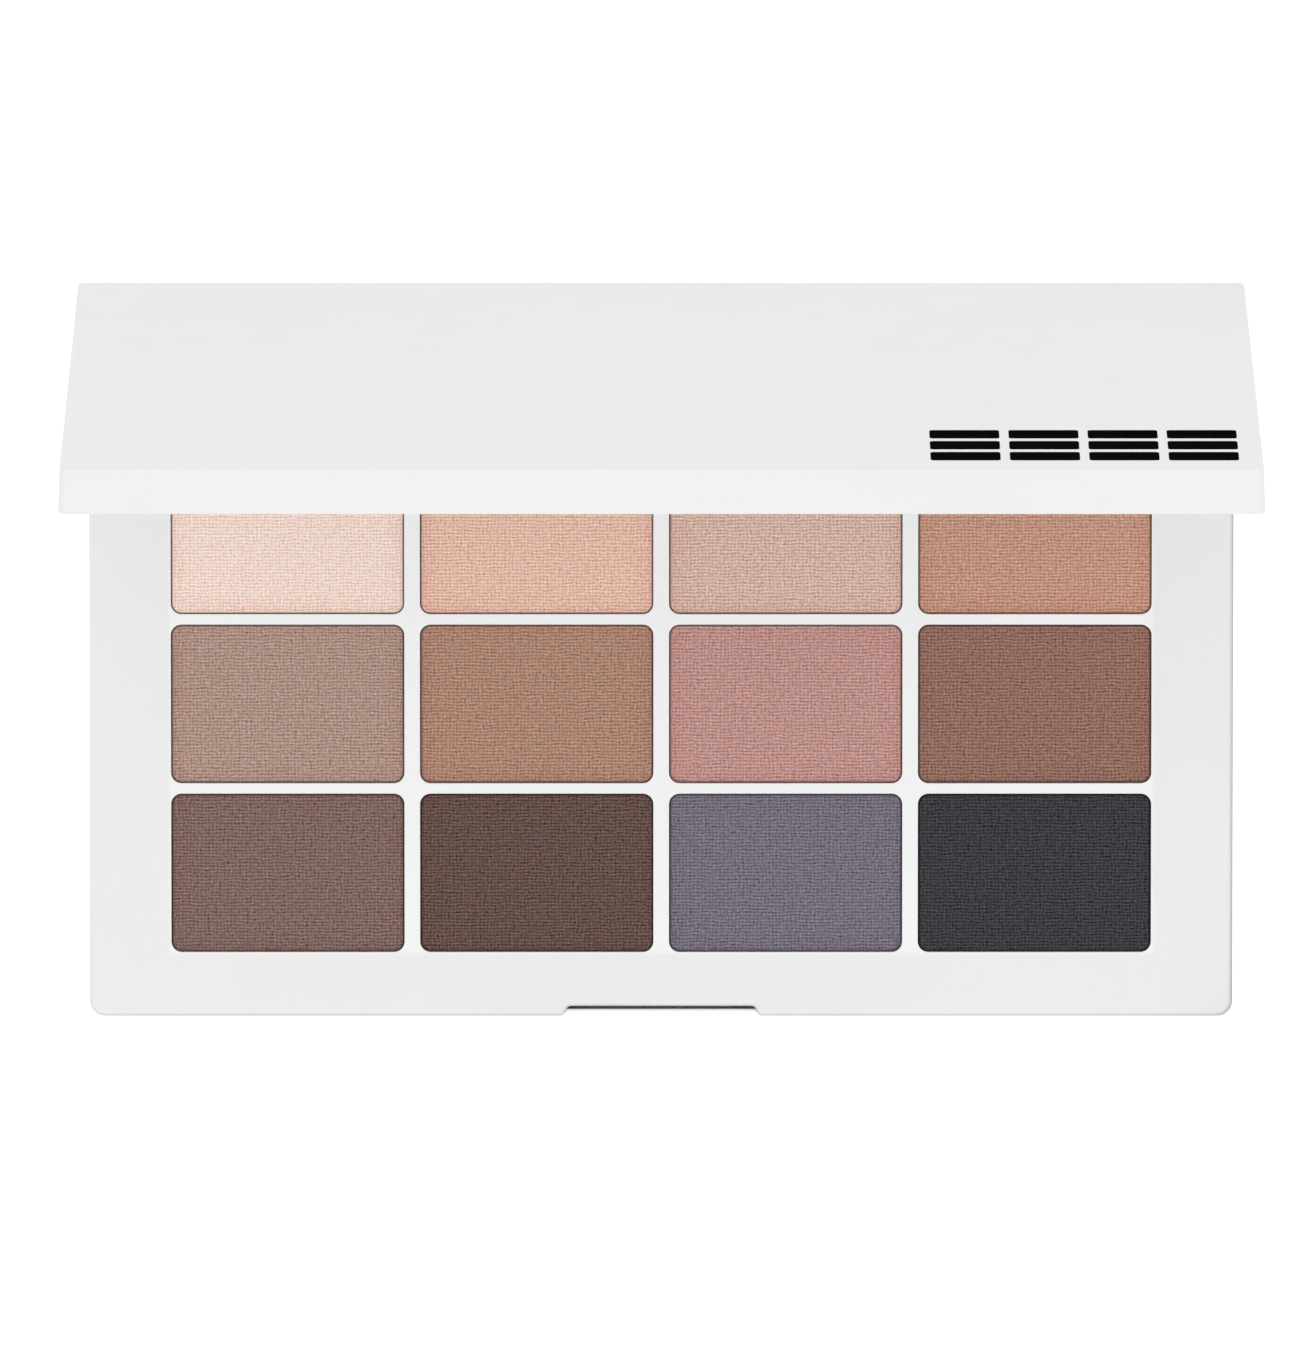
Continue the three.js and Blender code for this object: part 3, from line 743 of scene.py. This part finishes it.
def make_lid_shell():
    bm = bmesh.new()
    outline = rounded_rect(LID_LOW.x, LID_HIGH.x, LID_LOW.y, LID_HIGH.y, LID_CORNER, CORNER_STEPS)
    top = LID_HIGH.z
    rim = top - LID_WALL_H
    levels = [(i + LID_DRAFT, top - d) for i, d in quarter(LID_EDGE, 6)]
    levels += [(i, rim + d) for i, d in reversed(quarter(LID_RIM_ROUND, 4))]
    face, outer_rim = sweep(bm, outline, levels)
    w = LID_WALL
    inner = rounded_rect(LID_LOW.x + w, LID_HIGH.x - w, LID_LOW.y + w, LID_HIGH.y - w,
                         LID_INSIDE_CORNER, CORNER_STEPS)
    inner_levels = [(-i, rim + d) for i, d in quarter(LID_RIM_ROUND, 4)]
    inner_levels += [(0, top - LID_SKIN)]
    inner_rim, ceiling = sweep(bm, inner, inner_levels)
    bridge(bm, outer_rim, inner_rim)
    fill(bm, face)
    fill(bm, ceiling)
    lid = finish_mesh(bm, "lid_case", WHITE)

    cutters = bmesh.new()
    clear = KNUCKLE_R + KNUCKLE_GAP
    y, z = AXIS.y, AXIS.z
    rear, under = LID_HIGH.y + CUT_PAST, rim - CUT_PAST
    profile = [(y - clear, under), (rear, under), (rear, z)] + hinge_arc(clear, 0, 180, 20)
    for side in (-1, 1):
        for end in (-1, 1):
            near = side * STATION_X + end * LID_KNUCKLE_L / 2
            far = near + end * (BASE_KNUCKLE_L + 2 * KNUCKLE_GAP)
            first, last = sweep(cutters, profile, [(0, min(near, far)), (0, max(near, far))],
                                along_x)
            fill(cutters, first)
            fill(cutters, last)
    cutter = finish_mesh(cutters, "slot_cutter", WHITE)
    slots = lid.modifiers.new("slots", "BOOLEAN")
    slots.object = cutter
    slots.solver = "EXACT"
    bpy.context.view_layer.update()
    depsgraph = bpy.context.evaluated_depsgraph_get()
    cut = bpy.data.meshes.new_from_object(lid.evaluated_get(depsgraph))
    lid.modifiers.clear()
    lid.data = cut
    bpy.data.objects.remove(cutter)
    cut.transform(TO_REST)
    cut.set_sharp_from_angle(angle=math.radians(40))
    even_normals(lid)
    join_frame(lid, "lid", "white_case", "lid_shell")


def make_lid_knuckles():
    web = LID_HIGH.y - LID_WALL / 2 - AXIS.y
    meets = math.degrees(math.acos(web / KNUCKLE_R))
    profile = hinge_arc(KNUCKLE_R, 90, 360 + meets, 36)
    profile += [(AXIS.y + web, AXIS.z + KNUCKLE_R)]
    bore = circle(AXIS.y, AXIS.z, PIN_BORE + BORE_PLAY)
    for side, name in ((-1, "left"), (1, "right")):
        bm = bmesh.new()
        middle = side * STATION_X
        rounded_prism(bm, profile, [bore], middle - LID_KNUCKLE_L / 2, middle + LID_KNUCKLE_L / 2,
                      KNUCKLE_ROUND)
        open_lid(bm)
        knuckle = finish_mesh(bm, f"lid_knuckle_{name}", WHITE)
        even_normals(knuckle)
        join_frame(knuckle, "lid", "white_case")


def make_mirror():
    """White liner with a bevelled opening, and the mirror plate in it."""
    low, high = closed_box("mirror_frame")
    glass_low, glass_high = closed_box("mirror")
    bm = bmesh.new()
    outer = rounded_rect(low.x, high.x, low.y, high.y, LID_INSIDE_CORNER)
    face, back = sweep(bm, outer, [(i, low.z + d) for i, d in quarter(LINER_EDGE, 4)]
                       + [(0, high.z)])
    g = GLASS_GAP
    opening = rounded_rect(glass_low.x - g, glass_high.x + g, glass_low.y - g, glass_high.y + g,
                           OPENING_CORNER)
    levels = [(-LINER_LIP, low.z), (LINER_NOSE - LINER_LIP, low.z + NOSE_H),
              (0, low.z + LINER_LIP_H), (0, high.z)]
    front, behind = sweep(bm, opening, levels)
    fill(bm, face, front)
    fill(bm, back, behind)
    open_lid(bm)
    liner = finish_mesh(bm, "mirror_liner", WHITE, 35)
    even_normals(liner)
    join_frame(liner, "lid", "white_case", "mirror_frame")

    bm = bmesh.new()
    plate = rounded_rect(glass_low.x, glass_high.x, glass_low.y, glass_high.y, GLASS_CORNER)
    levels = [(i, glass_low.z + d) for i, d in quarter(GLASS_EDGE, 3)] + [(0, glass_high.z)]
    face, back = sweep(bm, plate, levels)
    fill(bm, face)
    fill(bm, back)
    open_lid(bm)
    glass = finish_mesh(bm, "mirror_plate", MIRROR, 30)
    even_normals(glass)
    join_frame(glass, "lid", "mirror", "mirror")


def make_mark():
    """Printed mark on the lid: a plain grid of twelve tiles, like the deck inside."""
    bm = bmesh.new()
    face = LID_HIGH.z
    x1 = LID_HIGH.x - MARK_RIGHT
    y0 = LID_LOW.y + MARK_FRONT
    tile_w = (MARK_W - (COLUMNS - 1) * TILE_GAP_X) / COLUMNS
    tile_d = (MARK_D - (ROWS - 1) * TILE_GAP_Y) / ROWS
    for row, column, _ in shade_tags():
        u = x1 - MARK_W + column * (tile_w + TILE_GAP_X)
        v = y0 + row * (tile_d + TILE_GAP_Y)
        tile = rounded_rect(u, u + tile_w, v, v + tile_d, TILE_CORNER, 5)
        low, high = sweep(bm, tile, [(0, face - INK_SINK), (0, face + INK_T)])
        fill(bm, low)
        fill(bm, high)
    open_lid(bm)
    mark = finish_mesh(bm, "printed_tiles", INK)
    join_frame(mark, "lid", "white_case")


def dress_frame_nodes():
    """Procedural finishes for the CAD nodes that stay."""
    finishes = {"pan_": TIN_DUST_AND_SHADE, "glue_dot_": GLUE, "base_magnet": NICKEL, "lid_magnet": NICKEL,
                "hinge_pin": STEEL, "mirror_tape": FOAM, "bottom_label": PAPER}
    for name, obj in NODES.items():
        for start, material in finishes.items():
            if name.startswith(start):
                obj.data.materials.clear()
                obj.data.materials.append(material)


# ---- Studio ----

FLOOR_SIZE = 6.0
FLOOR_DROP = 0.02 * MM       # the sheet lies this far under the palette
FLOOR_GLOW = 1.05
FLOOR_GRAIN = 0.02
RIGHT_SHADE = 0.95           # how much darker the sheet is close to the palette, on each side
FRONT_SHADE = 0.85
REAR_SHADE = 0.05
SHADE_REACH = 70 * MM
SHADE_FADE = 4 * MM
RIGHT_END = 20 * MM          # the right shade ends here in Y, short of the lid
CARD_BLACK = ("050505", "090909")
CARD = [                     # x, y and height in mm, from the right rear round to the left front
    (86, 44, 10), (86, -40, 10), (82.5, -45, 11), (76, -51.5, 11), (70, -55, 8), (-74, -55, 8),
]
TENT = [                     # brightness by direction: axis, from, to, level there, level there
    ("Z", 0.1, 0.95, 0.82, 1.095),
    ("X", -1.0, -0.75, 0.7, 1.0),
    ("X", 0.6, 1.0, 1.0, 0.85),
    ("Y", -0.4, 0.4, 1.2, 1.04),
    ("Y", -1.0, -0.8, 0.8, 1.0),
]

CAMERA_LEAN = math.radians(6.1)
CAMERA_DISTANCE = 2.83
CAMERA_LENS = 562.0
CAMERA_AIM = Vector((-2.15 * MM, -0.06 * MM, DECK_HIGH.z))


def show_on_stage(name, corners, faces, material):
    mesh = bpy.data.meshes.new(name)
    mesh.from_pydata(corners, [], faces)
    mesh.materials.append(material)
    obj = bpy.data.objects.new(name, mesh)
    bpy.context.scene.collection.objects.link(obj)
    return obj


def make_floor():
    """A pale sheet lit from below; what stands close to it sees it shaded, but not on the left."""
    n = Nodes("studio_floor")
    n.set(Roughness=0.9, Specular_IOR_Level=0.1)
    n.set(Base_Color=(0.05, 0.05, 0.05, 1), Emission_Color=(1, 1, 1, 1))
    half = FLOOR_SIZE / 2
    low, high = SHELL_LOW, DECK_HIGH
    right = n.within((high.x, -half), (half, RIGHT_END), RIGHT_END)
    front = n.within((-half, -half), (half, low.y), SHADE_FADE)
    rear = n.within((-half, high.y), (half, half), SHADE_FADE)
    shade = n.math("MAXIMUM", n.math("MULTIPLY", right, RIGHT_SHADE),
                   n.math("MULTIPLY", front, FRONT_SHADE))
    shade = n.math("MAXIMUM", shade, n.math("MULTIPLY", rear, REAR_SHADE))
    path = n.tree.nodes.new("ShaderNodeLightPath")
    near = n.span(path.outputs["Ray Length"], SHADE_REACH / 2, SHADE_REACH, 1.0, 0.0)
    grain = n.math("MULTIPLY", n.noise(40, 3), FLOOR_GRAIN)
    glow = n.math("MULTIPLY", n.math("SUBTRACT", 1.0, n.math("MULTIPLY", shade, near)), FLOOR_GLOW)
    n.link(n.math("ADD", glow, grain), n.shader.inputs["Emission Strength"])
    z = low.z - FLOOR_DROP
    corners = [(-half, -half, z), (half, -half, z), (half, half, z), (-half, half, z)]
    show_on_stage("studio_floor", corners, [(0, 1, 2, 3)], n.material)


def make_card():
    """A low black card bent round the right and front sides; it draws the edges beside it."""
    black = plain_matte("black_card", *CARD_BLACK, 400, 0.9, 0.01 * MM)
    foot = [(x * MM, y * MM, 0) for x, y, _ in CARD]
    head = [(x * MM, y * MM, height * MM) for x, y, height in CARD]
    count = len(CARD)
    faces = [(k, k + 1, k + 1 + count, k + count) for k in range(count - 1)]
    card = show_on_stage("black_card", foot + head, faces, black)
    card.visible_camera = False
    card.visible_glossy = False


def make_light():
    """A white tent, brightest overhead and in front, a little dimmer round the horizon."""
    world = bpy.data.worlds.new("white_tent")
    bpy.context.scene.world = world
    world.use_nodes = True
    tree = world.node_tree
    background = tree.nodes["Background"]
    coords = tree.nodes.new("ShaderNodeTexCoord")
    split = tree.nodes.new("ShaderNodeSeparateXYZ")
    tree.links.new(coords.outputs["Generated"], split.inputs[0])

    def ramp(socket, low, high, to_low, to_high):
        node = tree.nodes.new("ShaderNodeMapRange")
        node.interpolation_type = "SMOOTHSTEP"
        tree.links.new(split.outputs[socket], node.inputs["Value"])
        for key, number in zip(("From Min", "From Max", "To Min", "To Max"),
                               (low, high, to_low, to_high)):
            node.inputs[key].default_value = number
        return node.outputs["Result"]

    level, *others = [ramp(*row) for row in TENT]
    for factor in others:
        product = tree.nodes.new("ShaderNodeMath")
        product.operation = "MULTIPLY"
        tree.links.new(level, product.inputs[0])
        tree.links.new(factor, product.inputs[1])
        level = product.outputs[0]
    tree.links.new(level, background.inputs["Strength"])
    background.inputs["Color"].default_value = (1, 1, 1, 1)


def make_camera():
    """A long lens high over the palette, leaning a little to the hinge side."""
    data = bpy.data.cameras.new("camera")
    camera = bpy.data.objects.new("camera", data)
    bpy.context.scene.collection.objects.link(camera)
    bpy.context.scene.camera = camera
    data.sensor_width = 36
    data.lens = CAMERA_LENS
    back = Vector((0, math.sin(CAMERA_LEAN), math.cos(CAMERA_LEAN)))
    up = Vector((0, math.cos(CAMERA_LEAN), -math.sin(CAMERA_LEAN)))
    right = up.cross(back)
    turn = Matrix((right, up, back)).transposed()
    place = CAMERA_AIM + back * CAMERA_DISTANCE
    camera.matrix_world = Matrix.Translation(place) @ turn.to_4x4()
    data.clip_start = 0.05
    data.clip_end = 20


bpy.context.scene.view_settings.view_transform = "Standard"

make_deck()
make_shell()
make_base_knuckles()
make_powders()
make_lid_shell()
make_lid_knuckles()
make_mirror()
make_mark()
dress_frame_nodes()
make_floor()
make_card()
make_light()
make_camera()
